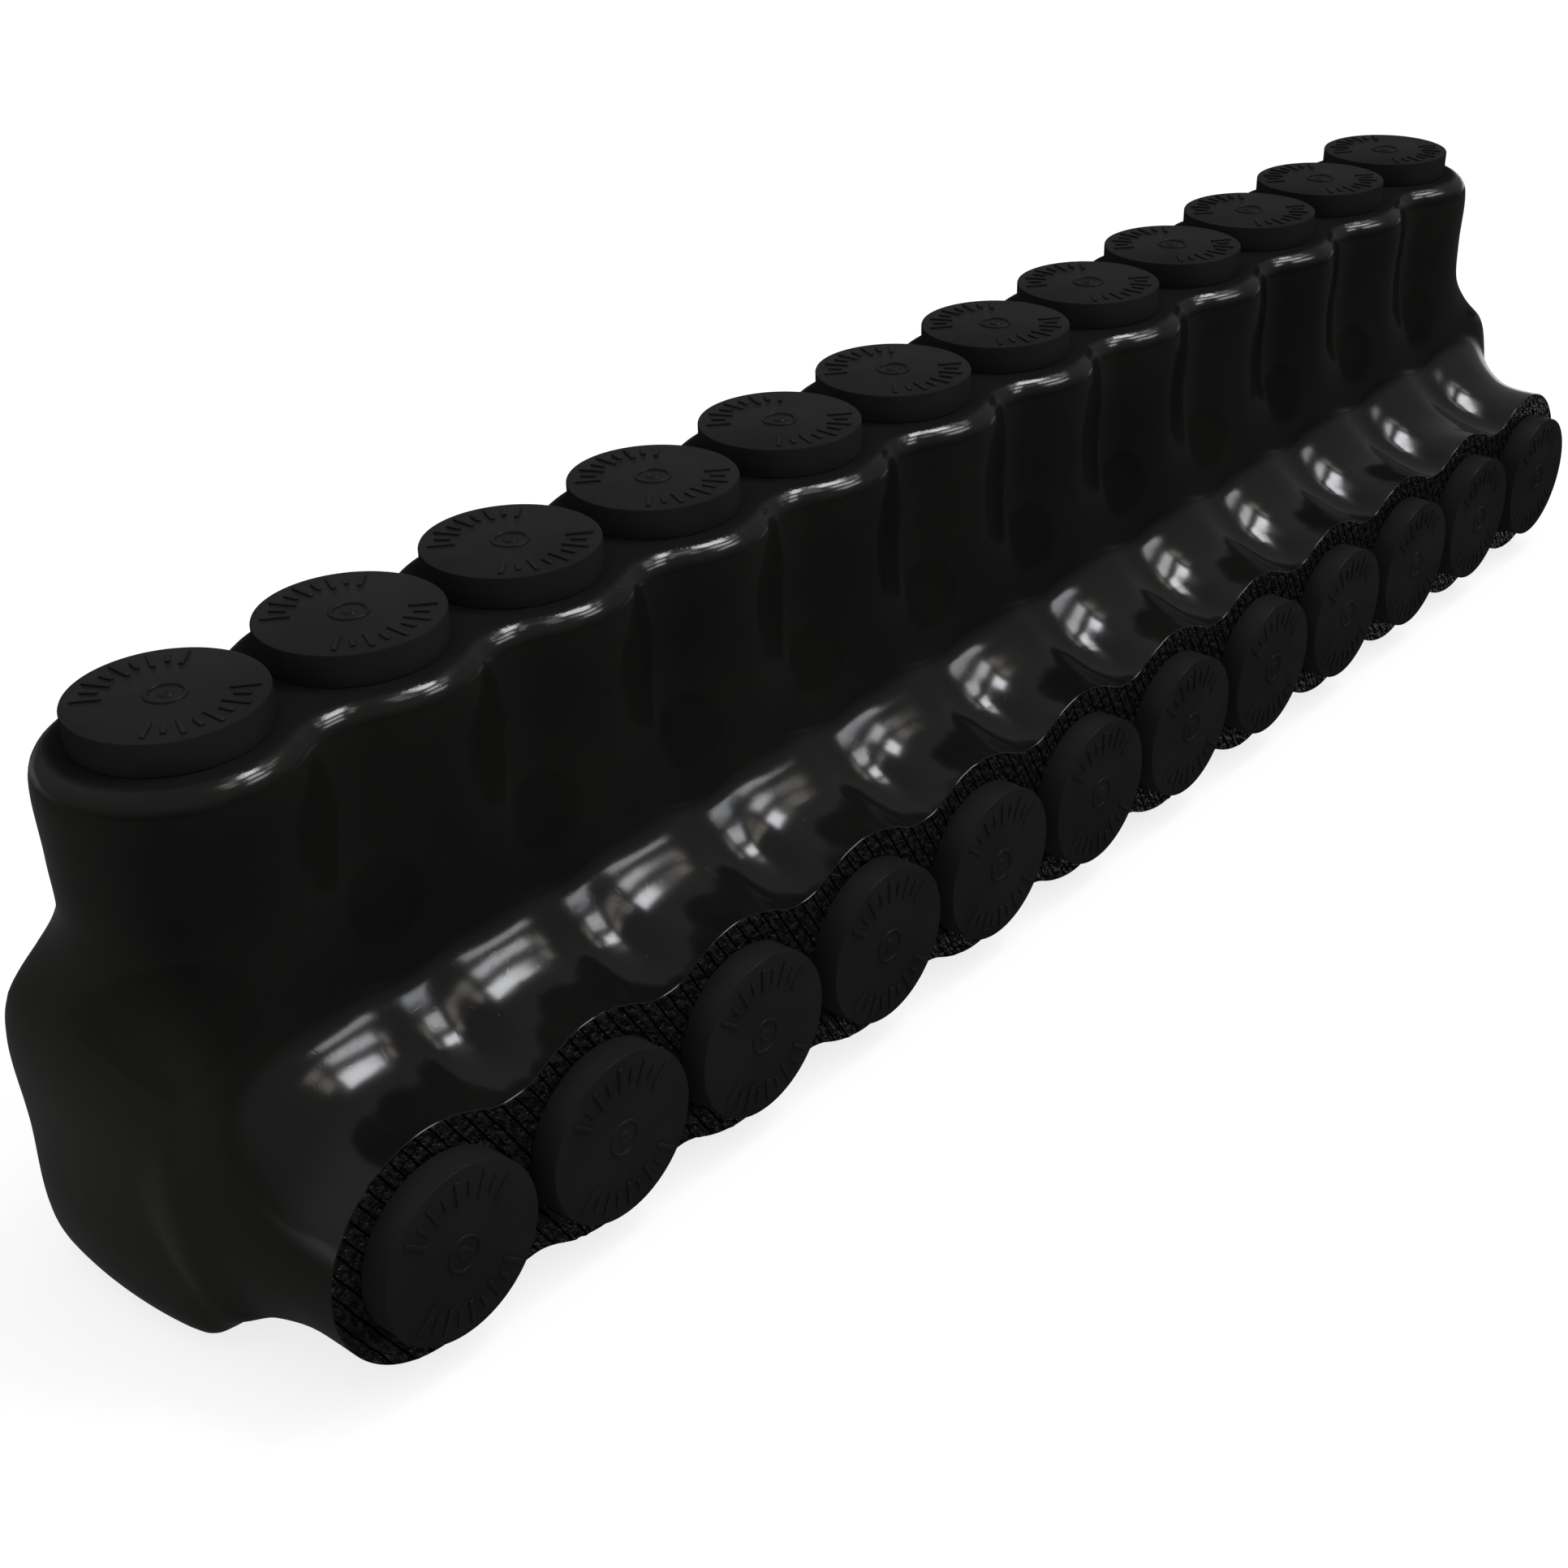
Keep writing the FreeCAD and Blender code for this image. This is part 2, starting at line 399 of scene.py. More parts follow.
class Finish:
    """What the finishes share: a new material with object coordinates and one Principled shader."""

    def sheet(self, name: str) -> tuple[bpy.types.Material, NodeSheet, Socket]:
        """A new material with an empty sheet.

        Args:
            name: The material's name.

        Returns:
            The material, its sheet and its object coordinates.
        """
        material = bpy.data.materials.new(name)
        material.use_nodes = True
        nodes = NodeSheet(material.node_tree)
        return material, nodes, nodes.node("TexCoord").outputs["Object"]

    def close(self, nodes: NodeSheet, inputs: dict) -> None:
        """Adds the Principled shader with its inputs, and the output.

        Args:
            nodes: The material's sheet.
            inputs: Inputs of the shader by name.
        """
        shader = nodes.node("BsdfPrincipled", inputs)
        nodes.node("OutputMaterial", {"Surface": shader.outputs["BSDF"]})

    def close_coated(
        self, nodes: NodeSheet, colour: Socket, rough: Socket, normal: Socket, gloss: Socket, polish: float
    ) -> None:
        """Adds the shader of a black plastic whose gloss lies in a clear layer.

        Args:
            nodes: The material's sheet.
            colour: The base colour.
            rough: The roughness under the clear layer.
            normal: The normal of both layers.
            gloss: The clear layer's weight.
            polish: The clear layer's roughness.
        """
        under = {"Base Color": colour, "Roughness": rough, "Specular IOR Level": 0.0, "Normal": normal}
        over = {"Coat Weight": gloss, "Coat Roughness": polish, "Coat Normal": normal}
        self.close(nodes, under | over)

    def bump(
        self, nodes: NodeSheet, height: Socket, depth: float, under: Socket | None = None
    ) -> Socket:
        """A normal from a height of 0 to 1 and its depth, laid over another where one is given.

        Args:
            nodes: The material's sheet.
            height: The height.
            depth: How deep a height of 1 is.
            under: The normal that it is laid over.

        Returns:
            The normal.
        """
        inputs = {"Height": height, "Strength": 1.0, "Distance": depth}
        if under is not None:
            inputs["Normal"] = under
        return nodes.node("Bump", inputs).outputs["Normal"]

    def upward(self, nodes: NodeSheet, normal: Socket, low: float, high: float, most: float) -> Socket:
        """A gloss that grows from nothing to its most as a normal turns up."""
        rise = nodes.node("SeparateXYZ", {0: normal}).outputs["Z"]
        return nodes.ramp(rise, low, high, 0.0, most)


@dataclass(frozen=True)
class MouldedCoat(Finish):
    """Black soft plastic, glossy where it faces up, satin on its walls and sandy on its top, with painted
    light that makes its two ends lighter.
    """

    dark: Colour = (0.0056, 0.0055, 0.0053)
    light: Colour = (0.0084, 0.0081, 0.0074)
    # Painted light: the block's two ends get this lighter colour, which stands in for a soft reflection
    # falling on them.
    end: Colour = (0.0140, 0.0136, 0.0123)
    sand: Colour = (0.0100, 0.0100, 0.0102)
    tone_scale: float = 60.0
    gloss_turn: Span = (0.30, 0.58)
    wall_gloss: float = 0.03
    wall_foot: Span = (20.5 * MM, 23.0 * MM)
    wall_head: Span = (32.0 * MM, 35.0 * MM)
    back_gloss: float = 0.06
    back_span: Span = (-1.0 * MM, 6.0 * MM)
    end_gloss: float = 0.05
    end_span: Span = (84.5 * MM, 89.0 * MM)
    gloss_rough: float = 0.15
    under_rough: float = 0.50
    top_span: Span = (38.57 * MM, 38.81 * MM)
    peel_scale: float = 420.0
    peel_depth: float = 0.008 * MM
    crease_turn: Place = (0.3, 0.5, 0.7)
    crease_stretch: float = 0.35
    crease_scale: float = 1500.0
    crease_width: float = 0.06
    crease_cover: float = 0.56
    crease_depth: float = 0.0013 * MM
    sand_scale: float = 3600.0
    sand_depth: float = 0.060 * MM

    def material(self) -> bpy.types.Material:
        """The coat's material, node by node.

        Returns:
            The finished material.
        """
        material, nodes, place = self.sheet("coat_soft_plastic")
        height = nodes.node("SeparateXYZ", {0: place}).outputs["Z"]
        top = nodes.ramp(height, *self.top_span, 0.0, 1.0)
        skin = nodes.math("SUBTRACT", 1.0, top)
        slow = nodes.node("TexNoise", {"Vector": place, "Scale": self.tone_scale, "Detail": 3.0})
        tone = nodes.ramp(slow.outputs["Fac"], 0.35, 0.65, 0.0, 1.0)
        colour = nodes.mix(tone, self.dark, self.light)
        # Painted light: the ends are lightened towards the end colour, standing in for a soft reflection
        # on them.
        colour = nodes.mix(self.ends(nodes, place), colour, self.end)
        colour = nodes.mix(top, colour, self.sand)
        rough = nodes.math("MULTIPLY_ADD", slow.outputs["Fac"], 0.16, self.under_rough)
        relief = self.skin_relief(nodes, place, skin)
        inputs = {"Vector": place, "Scale": self.sand_scale}
        sand = nodes.node("Group", inputs, node_tree=Effects.grain())
        sandy = nodes.math("MULTIPLY", sand.outputs["Height"], top)
        normal = self.bump(nodes, sandy, self.sand_depth, relief)
        gloss = nodes.math("MULTIPLY", self.gloss(nodes, place), skin)
        self.close_coated(nodes, colour, rough, normal, gloss, self.gloss_rough)
        return material

    def gloss(self, nodes: NodeSheet, place: Socket) -> Socket:
        """How glossy the skin is: most where the front faces up, less on walls, ends and back.

        Args:
            nodes: The material's sheet.
            place: Object coordinates.

        Returns:
            The gloss, from 0 to 1.
        """
        facing = nodes.node("SeparateXYZ", {0: nodes.node("TexCoord").outputs["Normal"]})
        parts = nodes.node("SeparateXYZ", {0: place})
        front = nodes.ramp(facing.outputs["Z"], *self.gloss_turn, self.wall_gloss, 1.0)
        foot = nodes.ramp(parts.outputs["Z"], *self.wall_foot, 0.0, 1.0)
        head = nodes.ramp(parts.outputs["Z"], *self.wall_head, 1.0, 0.0)
        front = nodes.blend(nodes.math("MULTIPLY", foot, head), front, self.wall_gloss)
        back = nodes.ramp(parts.outputs["Y"], *self.back_span, 0.0, 1.0)
        ends = self.ends(nodes, place)
        return nodes.blend(ends, nodes.blend(back, front, self.back_gloss), self.end_gloss)

    def ends(self, nodes: NodeSheet, place: Socket) -> Socket:
        """Mask of the block's two ends.

        Args:
            nodes: The material's sheet.
            place: Object coordinates.

        Returns:
            1 on the ends, 0 between them.
        """
        reach = nodes.math("ABSOLUTE", nodes.node("SeparateXYZ", {0: place}).outputs["X"])
        return nodes.ramp(reach, *self.end_span, 0.0, 1.0)

    def skin_relief(self, nodes: NodeSheet, place: Socket, skin: Socket) -> Socket:
        """The glossy skin's normal: a slow ripple with fine creases in patches.

        Args:
            nodes: The material's sheet.
            place: Object coordinates.
            skin: Mask of the glossy skin.

        Returns:
            The normal.
        """
        peel = nodes.node("TexNoise", {"Vector": place, "Scale": self.peel_scale, "Detail": 2.0})
        ripple = self.bump(nodes, peel.outputs["Fac"], self.peel_depth)
        stretch = (1.0, self.crease_stretch, 1.0)
        turn = {"Vector": place, "Rotation": self.crease_turn, "Scale": stretch}
        inputs = {
            "Vector": nodes.node("Mapping", turn).outputs[0],
            "Scale": self.crease_scale,
            "Width": self.crease_width,
            "Cover": self.crease_cover,
        }
        creases = nodes.node("Group", inputs, node_tree=Effects.hairlines())
        crease = nodes.math("MULTIPLY", creases.outputs["Mask"], skin)
        return self.bump(nodes, crease, -self.crease_depth, ripple)


@dataclass(frozen=True)
class SawnFace(Finish):
    """The cut front of the sleeves: torn, glinting lumps crossed by slanting tool marks, with painted
    shade in the grooves and between the lumps.
    """

    # Painted shade: the grooves of the tool marks and the low ground between the lumps get darker colours
    # than the lumps.
    groove_painted_shade: Colour = (0.0006, 0.0006, 0.0006)
    pit_painted_shade: Colour = (0.0048, 0.0048, 0.0047)
    lump: Colour = (0.0128, 0.0127, 0.0123)
    slant: float = 30.0
    strand: float = 0.55
    grain_scale: float = 2300.0
    lump_edge: Span = (0.36, 0.62)
    mark_pitch: float = 1.02 * MM
    mark_edge: Span = (0.88, 0.97)
    wander_scale: float = 600.0
    mark_wander: float = 0.28 * MM
    mark_depth: float = 0.30 * MM
    lump_depth: float = 0.26 * MM
    rough: float = 0.50
    glint: float = 0.60
    glint_turn: Span = (0.20, 0.50)
    glint_rough: float = 0.20

    def material(self) -> bpy.types.Material:
        """The cut face's material, node by node.

        Returns:
            The finished material.
        """
        material, nodes, place = self.sheet("coat_cut_face")
        slanted = {"Vector": place, "Rotation": (0.0, math.radians(self.slant), 0.0)}
        turned = nodes.node("Mapping", slanted)
        warp = nodes.node("TexNoise", {"Vector": place, "Scale": self.wander_scale, "Detail": 3.0})
        across = nodes.node("SeparateXYZ", {0: turned.outputs[0]}).outputs["X"]
        phase = nodes.math("MULTIPLY_ADD", warp.outputs["Fac"], self.mark_wander, across)
        wave = nodes.math("SINE", nodes.math("MULTIPLY", phase, 2 * math.pi / self.mark_pitch))
        flat = nodes.ramp(wave, *self.mark_edge, 1.0, 0.0)
        drawn = nodes.node("Mapping", {"Vector": turned.outputs[0], "Scale": (1.0, 1.0, self.strand)})
        inputs = {"Vector": drawn.outputs[0], "Scale": self.grain_scale}
        grain = nodes.node("Group", inputs, node_tree=Effects.grain())
        rise = nodes.ramp(grain.outputs["Height"], *self.lump_edge, 0.0, 1.0)
        lumps = nodes.math("MULTIPLY", rise, flat)
        # Painted shade: the grooves are near black, and the low ground is darker than the raised lumps.
        colour = nodes.mix(flat, self.groove_painted_shade, nodes.mix(rise, self.pit_painted_shade, self.lump))
        normal = self.bump(nodes, flat, self.mark_depth, self.bump(nodes, lumps, self.lump_depth))
        glint = self.upward(nodes, normal, *self.glint_turn, self.glint)
        rough = nodes.math("MULTIPLY_ADD", grain.outputs["Tone"], 0.2, self.rough)
        gloss = nodes.math("MULTIPLY", glint, flat)
        self.close_coated(nodes, colour, rough, normal, gloss, self.glint_rough)
        return material


@dataclass(frozen=True)
class CapPlastic(Finish):
    """Satin black moulded plastic with a fine grain and a few scuffs."""

    dark: Colour = (0.0120, 0.0120, 0.0119)
    light: Colour = (0.0150, 0.0150, 0.0148)
    rough: float = 0.44
    grain_scale: float = 4200.0
    grain_depth: float = 0.020 * MM
    scuff_scale: float = 330.0
    scuff_width: float = 0.012
    scuff_cover: float = 0.60
    sheen: float = 0.20
    sheen_turn: Span = (0.35, 0.75)
    sheen_rough: float = 0.32

    def material(self) -> bpy.types.Material:
        """The caps' material, node by node.

        Returns:
            The finished material.
        """
        material, nodes, place = self.sheet("cap_satin_plastic")
        inputs = {"Vector": place, "Scale": self.grain_scale}
        grain = nodes.node("Group", inputs, node_tree=Effects.grain())
        inputs = {"Vector": place, "Scale": self.scuff_scale}
        inputs |= {"Width": self.scuff_width, "Cover": self.scuff_cover}
        scuffs = nodes.node("Group", inputs, node_tree=Effects.hairlines())
        colour = nodes.mix(grain.outputs["Tone"], self.dark, self.light)
        rough = nodes.math("MULTIPLY_ADD", grain.outputs["Tone"], 0.08, self.rough)
        rough = nodes.math("MULTIPLY_ADD", scuffs.outputs["Mask"], -0.10, rough)
        relief = nodes.math("MULTIPLY_ADD", scuffs.outputs["Mask"], -0.5, grain.outputs["Height"])
        normal = self.bump(nodes, relief, self.grain_depth)
        gloss = self.upward(nodes, normal, *self.sheen_turn, self.sheen)
        self.close_coated(nodes, colour, rough, normal, gloss, self.sheen_rough)
        return material


@dataclass(frozen=True)
class DrawnMetal(Finish):
    """Bare metal with drawing lines along X and small scratches."""

    name: str = "bar_drawn_aluminium"
    dark: Colour = (0.60, 0.61, 0.62)
    light: Colour = (0.80, 0.80, 0.79)
    rough: float = 0.30
    line_scale: float = 3000.0
    line_stretch: float = 0.05
    line_depth: float = 0.012 * MM
    mark_scale: float = 260.0
    mark_width: float = 0.010

    def material(self) -> bpy.types.Material:
        """The metal's material, node by node.

        Returns:
            The finished material.
        """
        material, nodes, place = self.sheet(self.name)
        drawn = nodes.node("Mapping", {"Vector": place, "Scale": (self.line_stretch, 1.0, 1.0)})
        inputs = {"Vector": drawn.outputs[0], "Scale": self.line_scale}
        lines = nodes.node("Group", inputs, node_tree=Effects.grain())
        inputs = {"Vector": place, "Scale": self.mark_scale, "Width": self.mark_width}
        marks = nodes.node("Group", inputs, node_tree=Effects.hairlines())
        colour = nodes.mix(lines.outputs["Tone"], self.dark, self.light)
        rough = nodes.math("MULTIPLY_ADD", lines.outputs["Height"], 0.22, self.rough)
        relief = nodes.math("MULTIPLY_ADD", marks.outputs["Mask"], -0.8, lines.outputs["Height"])
        self.close(
            nodes,
            {
                "Base Color": colour,
                "Metallic": 1.0,
                "Roughness": rough,
                "Normal": self.bump(nodes, relief, self.line_depth),
            },
        )
        return material


@dataclass(frozen=True)
class PaleFloor(Finish):
    """A white sweep that stays white to the eye and in reflections, and keeps the shadow."""

    colour: Colour = (0.80, 0.80, 0.80)
    glow: float = 0.80
    shadow_share: float = 0.30

    def material(self) -> bpy.types.Material:
        """The floor's material, node by node.

        Returns:
            The finished material.
        """
        material, nodes, _ = self.sheet("floor_white")
        rays = nodes.node("LightPath")
        seen = nodes.math("ADD", rays.outputs["Is Camera Ray"], rays.outputs["Is Glossy Ray"])
        seen = nodes.math("ADD", seen, rays.outputs["Is Transmission Ray"], clamp=True)
        plain = nodes.node("BsdfDiffuse", {"Color": (*self.colour, 1.0)})
        shade = nodes.node("BsdfDiffuse", {"Color": (*[self.shadow_share] * 3, 1.0)})
        white = nodes.node("Emission", {"Color": (1.0, 1.0, 1.0, 1.0), "Strength": self.glow})
        shown = nodes.node("AddShader", {0: shade.outputs[0], 1: white.outputs[0]})
        both = nodes.node("MixShader", {0: seen, 1: plain.outputs[0], 2: shown.outputs[0]})
        nodes.node("OutputMaterial", {"Surface": both.outputs[0]})
        return material


@dataclass
class Row:
    """The taps' places, read from the frame."""

    count: int = 12

    def places(self) -> list[float]:
        """Finds the taps by their screws.

        Returns:
            The x of every tap, from the first to the last.
        """
        found = []
        for tap in range(1, self.count + 1):
            low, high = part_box(f"set_screw_{tap:02d}")
            found.append((low.x + high.x) / 2)
        return found


@dataclass
class Housing:
    """The moulded coat: one smooth skin, a sawn front and the ways in to the bar."""

    row: Row
    node: str = "insulating_housing"
    access_radius: float = 5.2 * MM
    rim_slack: float = 0.12 * MM
    front_spare: float = 3.0 * MM
    voxel: float = 0.46 * MM
    smoothing: int = 5
    blend_smoothing: int = 26
    throat: Span = (-9.9 * MM, 21.5 * MM)
    throat_half: Span = (4.0 * MM, 5.5 * MM)
    throat_gain: float = 1.8
    web_rise: float = 0.78 * MM
    web_half: float = 6.0 * MM
    web_back: float = -14.5 * MM
    web_end: Span = (-11.2 * MM, -9.6 * MM)
    triangles: int = 176000
    bore_corners: int = 72
    lip: float = 0.05 * MM
    smooth_angle: float = 38.0

    def build(self) -> Piece:
        """Models the coat from a copy of its CAD skin.

        Returns:
            The coat, in place.
        """
        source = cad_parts[self.node]
        coat = bpy.data.objects.new("coat", source.data.copy())
        coat.data.materials.clear()
        bpy.context.scene.collection.objects.link(coat)
        self.strip_inside(coat)
        self.even_out(coat)
        self.saw_front(coat)
        self.open_ways(coat)
        Bench.smooth(coat, self.smooth_angle)
        self.dress(coat)
        return coat

    def strip_inside(self, coat: Piece) -> None:
        """Leaves only the outer skin, closed, with some spare length at the front.

        Args:
            coat: The copy of the CAD mesh.
        """
        places = self.row.places()
        bar_low, bar_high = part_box("connector_bar")
        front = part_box(self.node)[0].y
        port_height = self.port_height()
        reach = self.access_radius + self.rim_slack
        slack = 0.1 * MM

        def inside(centre: Vector, normal: Vector) -> bool:
            """Finds the walls of the bores and of the bar's pocket.

            Args:
                centre: A face's centre.
                normal: Its normal.

            Returns:
                True for a wall inside.
            """
            pocket = all(
                low - slack < value < high + slack
                for value, low, high in zip(centre, bar_low, bar_high)
            )
            near = min(abs(centre.x - place) for place in places)
            down = math.hypot(near, centre.y) < reach and abs(normal.z) < 0.5
            out = math.hypot(near, centre.z - port_height) < reach and abs(normal.y) < 0.5
            return pocket or (down and centre.z > bar_high.z) or (out and centre.y < bar_low.y)

        with Bench.editing(coat):
            bpy.ops.mesh.select_all(action="SELECT")
            bpy.ops.mesh.remove_doubles(threshold=0.002 * MM)
            Bench.pick_faces(coat, inside)
            bpy.ops.mesh.delete(type="FACE")
            bpy.ops.mesh.select_all(action="SELECT")
            bpy.ops.mesh.fill_holes(sides=0)
            Bench.pick_faces(coat, lambda centre, normal: centre.y < front + slack)
            bpy.ops.transform.translate(value=(0, -self.front_spare, 0))

    def even_out(self, coat: Piece) -> None:
        """Turns the skin into even facets and melts the lines where its banks meet.

        Args:
            coat: The closed outer skin.
        """
        Bench.apply(coat, "REMESH", mode="VOXEL", voxel_size=self.voxel, adaptivity=0.0)
        Bench.apply(coat, "SMOOTH", factor=0.5, iterations=self.smoothing)
        self.weigh(coat, "web", self.web_weight())
        Bench.apply(
            coat, "DISPLACE", direction="Z", strength=self.web_rise, mid_level=0.0, vertex_group="web"
        )
        self.weigh(coat, "blend", self.blend_weight)
        Bench.apply(
            coat, "SMOOTH", factor=0.5, iterations=self.blend_smoothing, vertex_group="blend"
        )
        coat.vertex_groups.clear()
        count = sum(len(face.vertices) - 2 for face in coat.data.polygons)
        Bench.apply(coat, "DECIMATE", ratio=min(1.0, self.triangles / count))

    def weigh(self, coat: Piece, name: str, weight_at: Callable[[Vector], float]) -> None:
        """Gives a piece a vertex group, weighted by place.

        Args:
            coat: The piece.
            name: The group's name.
            weight_at: The weight at a place.
        """
        group = coat.vertex_groups.new(name=name)
        for vertex in coat.data.vertices:
            weight = weight_at(vertex.co)
            if weight > 0.01:
                group.add([vertex.index], weight, "REPLACE")

    def web_weight(self) -> Callable[[Vector], float]:
        """How far the web between two sleeves has risen.

        Returns:
            The rise at a place, from 0 to 1.
        """
        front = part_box(self.node)[0].y
        port_height = self.port_height()
        places = self.row.places()

        def rise(place: Vector) -> float:
            """The web's rise at one place.

            Args:
                place: A point of the skin.

            Returns:
                The rise, from 0 to 1.
            """
            if place.z < port_height or not places[0] < place.x < places[-1]:
                return 0.0
            near = min(abs(place.x - tap) for tap in places)
            start = self.eased(place.y, front, self.web_back)
            stop = 1.0 - self.eased(place.y, *self.web_end)
            return self.eased(near, 0.0, self.web_half) * start * stop

        return rise

    @staticmethod
    def eased(value: float, low: float, high: float) -> float:
        """A smooth step from 0 to 1 between two values."""
        share = max(0.0, min(1.0, (value - low) / (high - low)))
        return share * share * (3.0 - 2.0 * share)

    def blend_weight(self, place: Vector) -> float:
        """How much a point is smoothed: most in the throat between ports and chimneys.

        Args:
            place: A point of the skin.

        Returns:
            The weight, from 0 to 1.
        """
        depth = 1.0 - abs(place.y - self.throat[0]) / self.throat_half[0]
        height = 1.0 - abs(place.z - self.throat[1]) / self.throat_half[1]
        return max(0.0, min(1.0, self.throat_gain * min(depth, height)))

    def saw_front(self, coat: Piece) -> None:
        """Cuts the spare length off square and gives the cut its own finish.

        Args:
            coat: The smooth skin.
        """
        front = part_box(self.node)[0].y
        with Bench.editing(coat):
            bpy.ops.mesh.select_all(action="SELECT")
            bpy.ops.mesh.bisect(
                plane_co=(0, front + self.lip, 0), plane_no=(0, -1, 0), use_fill=True, clear_outer=True
            )
            Bench.pick_faces(coat, lambda centre, normal: centre.y < front + 1.01 * self.lip)
            bpy.ops.mesh.inset(thickness=self.lip, depth=self.lip)

    def port_height(self) -> float:
        """Height of the wire ports' axes."""
        low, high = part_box("port_cap_01")
        return (low.z + high.z) / 2

    def open_ways(self, coat: Piece) -> None:
        """Cuts the bar's pocket and the round ways to the screws and wire bores.

        Args:
            coat: The closed coat.
        """
        bar_low, bar_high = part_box("connector_bar")
        housing_low, housing_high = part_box(self.node)
        Bench.clear()
        bpy.ops.mesh.primitive_cube_add(size=1, location=(bar_low + bar_high) / 2)
        pocket = bpy.context.object
        pocket.dimensions = bar_high - bar_low
        Bench.combine(coat, Bench.settle(pocket), "DIFFERENCE")
        overlap = 1.0 * MM
        down = housing_high.z - bar_high.z + 2 * overlap
        out = bar_low.y - housing_low.y + 2 * overlap
        ways = []
        for place in self.row.places():
            for length, centre, turn in (
                (down, (place, 0, bar_high.z - overlap + down / 2), 0.0),
                (out, (place, bar_low.y + overlap - out / 2, self.port_height()), math.pi / 2),
            ):
                Bench.clear()
                bpy.ops.mesh.primitive_cylinder_add(
                    vertices=self.bore_corners,
                    radius=self.access_radius,
                    depth=length,
                    location=centre,
                    rotation=(turn, 0, 0),
                )
                ways.append(Bench.settle(bpy.context.object))
        Bench.combine(coat, Bench.joined(ways, "ways"), "DIFFERENCE")

    def dress(self, coat: Piece) -> None:
        """Gives the skin and the cut face their finishes, and binds the coat to the frame.

        Args:
            coat: The finished shape.
        """
        coat.data.materials.append(MouldedCoat().material())
        coat.data.materials.append(SawnFace().material())
        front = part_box(self.node)[0].y
        for face in coat.data.polygons:
            cut = face.normal.y < -0.99 and abs(face.center.y - front) < 0.02 * MM
            face.material_index = int(cut)
        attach(coat, MAIN_BODY)
        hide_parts(self.node)


def seated(master: Piece, node: str, place: Matrix) -> Piece:
    """A copy of a finished piece in its place, standing for its CAD node.

    Args:
        master: The finished piece.
        node: The CAD node that the copy stands for, also its body.
        place: Where the copy goes.

    Returns:
        The seated copy.
    """
    piece = bpy.data.objects.new(f"{node}_shown", master.data.copy())
    bpy.context.scene.collection.objects.link(piece)
    piece.data.transform(place)
    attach(piece, node)
    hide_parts(node)
    return piece


